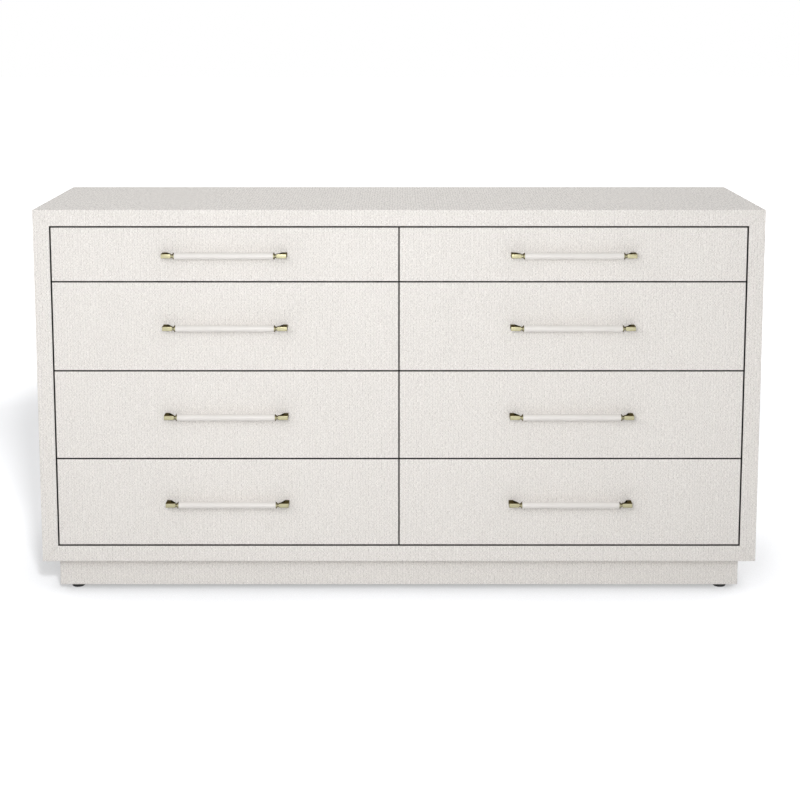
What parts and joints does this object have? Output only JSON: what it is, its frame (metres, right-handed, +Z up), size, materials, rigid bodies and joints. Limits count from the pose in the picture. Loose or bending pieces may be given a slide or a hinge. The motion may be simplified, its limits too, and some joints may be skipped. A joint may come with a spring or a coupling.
{
  "type": "double dresser",
  "caption": "Wide low dresser: mitred woven-wrapped case on a recessed plinth, inset drawers side by side, bar pulls held in brass brackets.",
  "frame": {"origin": "on the floor, at the middle of the object's own box (pulls included)", "axes": "+X along the width, to the right as seen from the front; +Y towards the back, so the drawers open along -Y; +Z up"},
  "size_m": [1.676, 0.5414, 0.914],
  "materials": {
    "woven_wrap": "boards wrapped in fine woven cloth, lacquered off-white, satin",
    "painted_board": "dark primed board",
    "drawer_wood": "clear satin lacquer on pale hardwood",
    "pull_grip": "smooth off-white satin lacquer",
    "brass": "light satin brass",
    "runner_steel": "bright zinc plate",
    "glide_plastic": "matte black"
  },
  "bodies": {
    "case": {"top_panel": "woven_wrap", "bottom_panel": "woven_wrap", "left_side_panel": "woven_wrap", "right_side_panel": "woven_wrap", "back_panel": "woven_wrap", "centre_partition": "painted_board", "plinth_rails": "woven_wrap", "plinth_corner_blocks": "drawer_wood", "plinth_glides": "glide_plastic", "glide_screws": "runner_steel", "left_case_runners": "runner_steel", "right_case_runners": "runner_steel"},
    "bottom_left_drawer": {"bottom_left_drawer_front": "woven_wrap", "bottom_left_drawer_box": "drawer_wood", "bottom_left_pull_grip": "pull_grip", "bottom_left_pull_brackets": "brass", "bottom_left_drawer_runners": "runner_steel"},
    "bottom_left_carriage": {"bottom_left_middle_runners": "runner_steel"},
    "lower_left_drawer": {"lower_left_drawer_front": "woven_wrap", "lower_left_drawer_box": "drawer_wood", "lower_left_pull_grip": "pull_grip", "lower_left_pull_brackets": "brass", "lower_left_drawer_runners": "runner_steel"},
    "lower_left_carriage": {"lower_left_middle_runners": "runner_steel"},
    "upper_left_drawer": {"upper_left_drawer_front": "woven_wrap", "upper_left_drawer_box": "drawer_wood", "upper_left_pull_grip": "pull_grip", "upper_left_pull_brackets": "brass", "upper_left_drawer_runners": "runner_steel"},
    "upper_left_carriage": {"upper_left_middle_runners": "runner_steel"},
    "top_left_drawer": {"top_left_drawer_front": "woven_wrap", "top_left_drawer_box": "drawer_wood", "top_left_pull_grip": "pull_grip", "top_left_pull_brackets": "brass", "top_left_drawer_runners": "runner_steel"},
    "top_left_carriage": {"top_left_middle_runners": "runner_steel"},
    "bottom_right_drawer": {"bottom_right_drawer_front": "woven_wrap", "bottom_right_drawer_box": "drawer_wood", "bottom_right_pull_grip": "pull_grip", "bottom_right_pull_brackets": "brass", "bottom_right_drawer_runners": "runner_steel"},
    "bottom_right_carriage": {"bottom_right_middle_runners": "runner_steel"},
    "lower_right_drawer": {"lower_right_drawer_front": "woven_wrap", "lower_right_drawer_box": "drawer_wood", "lower_right_pull_grip": "pull_grip", "lower_right_pull_brackets": "brass", "lower_right_drawer_runners": "runner_steel"},
    "lower_right_carriage": {"lower_right_middle_runners": "runner_steel"},
    "upper_right_drawer": {"upper_right_drawer_front": "woven_wrap", "upper_right_drawer_box": "drawer_wood", "upper_right_pull_grip": "pull_grip", "upper_right_pull_brackets": "brass", "upper_right_drawer_runners": "runner_steel"},
    "upper_right_carriage": {"upper_right_middle_runners": "runner_steel"},
    "top_right_drawer": {"top_right_drawer_front": "woven_wrap", "top_right_drawer_box": "drawer_wood", "top_right_pull_grip": "pull_grip", "top_right_pull_brackets": "brass", "top_right_drawer_runners": "runner_steel"},
    "top_right_carriage": {"top_right_middle_runners": "runner_steel"}
  },
  "joints": [
    {"name": "bottom_left_drawer_slide", "type": "slide", "parent": "case", "child": "bottom_left_drawer", "axis": [0, -1, 0], "range_m": [0, 0.43]},
    {"name": "bottom_left_carriage_slide", "type": "slide", "parent": "case", "child": "bottom_left_carriage", "axis": [0, -1, 0], "range_m": [0, 0.215]},
    {"name": "lower_left_drawer_slide", "type": "slide", "parent": "case", "child": "lower_left_drawer", "axis": [0, -1, 0], "range_m": [0, 0.43]},
    {"name": "lower_left_carriage_slide", "type": "slide", "parent": "case", "child": "lower_left_carriage", "axis": [0, -1, 0], "range_m": [0, 0.215]},
    {"name": "upper_left_drawer_slide", "type": "slide", "parent": "case", "child": "upper_left_drawer", "axis": [0, -1, 0], "range_m": [0, 0.43]},
    {"name": "upper_left_carriage_slide", "type": "slide", "parent": "case", "child": "upper_left_carriage", "axis": [0, -1, 0], "range_m": [0, 0.215]},
    {"name": "top_left_drawer_slide", "type": "slide", "parent": "case", "child": "top_left_drawer", "axis": [0, -1, 0], "range_m": [0, 0.43]},
    {"name": "top_left_carriage_slide", "type": "slide", "parent": "case", "child": "top_left_carriage", "axis": [0, -1, 0], "range_m": [0, 0.215]},
    {"name": "bottom_right_drawer_slide", "type": "slide", "parent": "case", "child": "bottom_right_drawer", "axis": [0, -1, 0], "range_m": [0, 0.43]},
    {"name": "bottom_right_carriage_slide", "type": "slide", "parent": "case", "child": "bottom_right_carriage", "axis": [0, -1, 0], "range_m": [0, 0.215]},
    {"name": "lower_right_drawer_slide", "type": "slide", "parent": "case", "child": "lower_right_drawer", "axis": [0, -1, 0], "range_m": [0, 0.43]},
    {"name": "lower_right_carriage_slide", "type": "slide", "parent": "case", "child": "lower_right_carriage", "axis": [0, -1, 0], "range_m": [0, 0.215]},
    {"name": "upper_right_drawer_slide", "type": "slide", "parent": "case", "child": "upper_right_drawer", "axis": [0, -1, 0], "range_m": [0, 0.43]},
    {"name": "upper_right_carriage_slide", "type": "slide", "parent": "case", "child": "upper_right_carriage", "axis": [0, -1, 0], "range_m": [0, 0.215]},
    {"name": "top_right_drawer_slide", "type": "slide", "parent": "case", "child": "top_right_drawer", "axis": [0, -1, 0], "range_m": [0, 0.43]},
    {"name": "top_right_carriage_slide", "type": "slide", "parent": "case", "child": "top_right_carriage", "axis": [0, -1, 0], "range_m": [0, 0.215]}
  ],
  "couplings": [
    {"joint": "bottom_left_carriage_slide", "follows": "bottom_left_drawer_slide", "ratio": 0.5},
    {"joint": "lower_left_carriage_slide", "follows": "lower_left_drawer_slide", "ratio": 0.5},
    {"joint": "upper_left_carriage_slide", "follows": "upper_left_drawer_slide", "ratio": 0.5},
    {"joint": "top_left_carriage_slide", "follows": "top_left_drawer_slide", "ratio": 0.5},
    {"joint": "bottom_right_carriage_slide", "follows": "bottom_right_drawer_slide", "ratio": 0.5},
    {"joint": "lower_right_carriage_slide", "follows": "lower_right_drawer_slide", "ratio": 0.5},
    {"joint": "upper_right_carriage_slide", "follows": "upper_right_drawer_slide", "ratio": 0.5},
    {"joint": "top_right_carriage_slide", "follows": "top_right_drawer_slide", "ratio": 0.5}
  ]
}
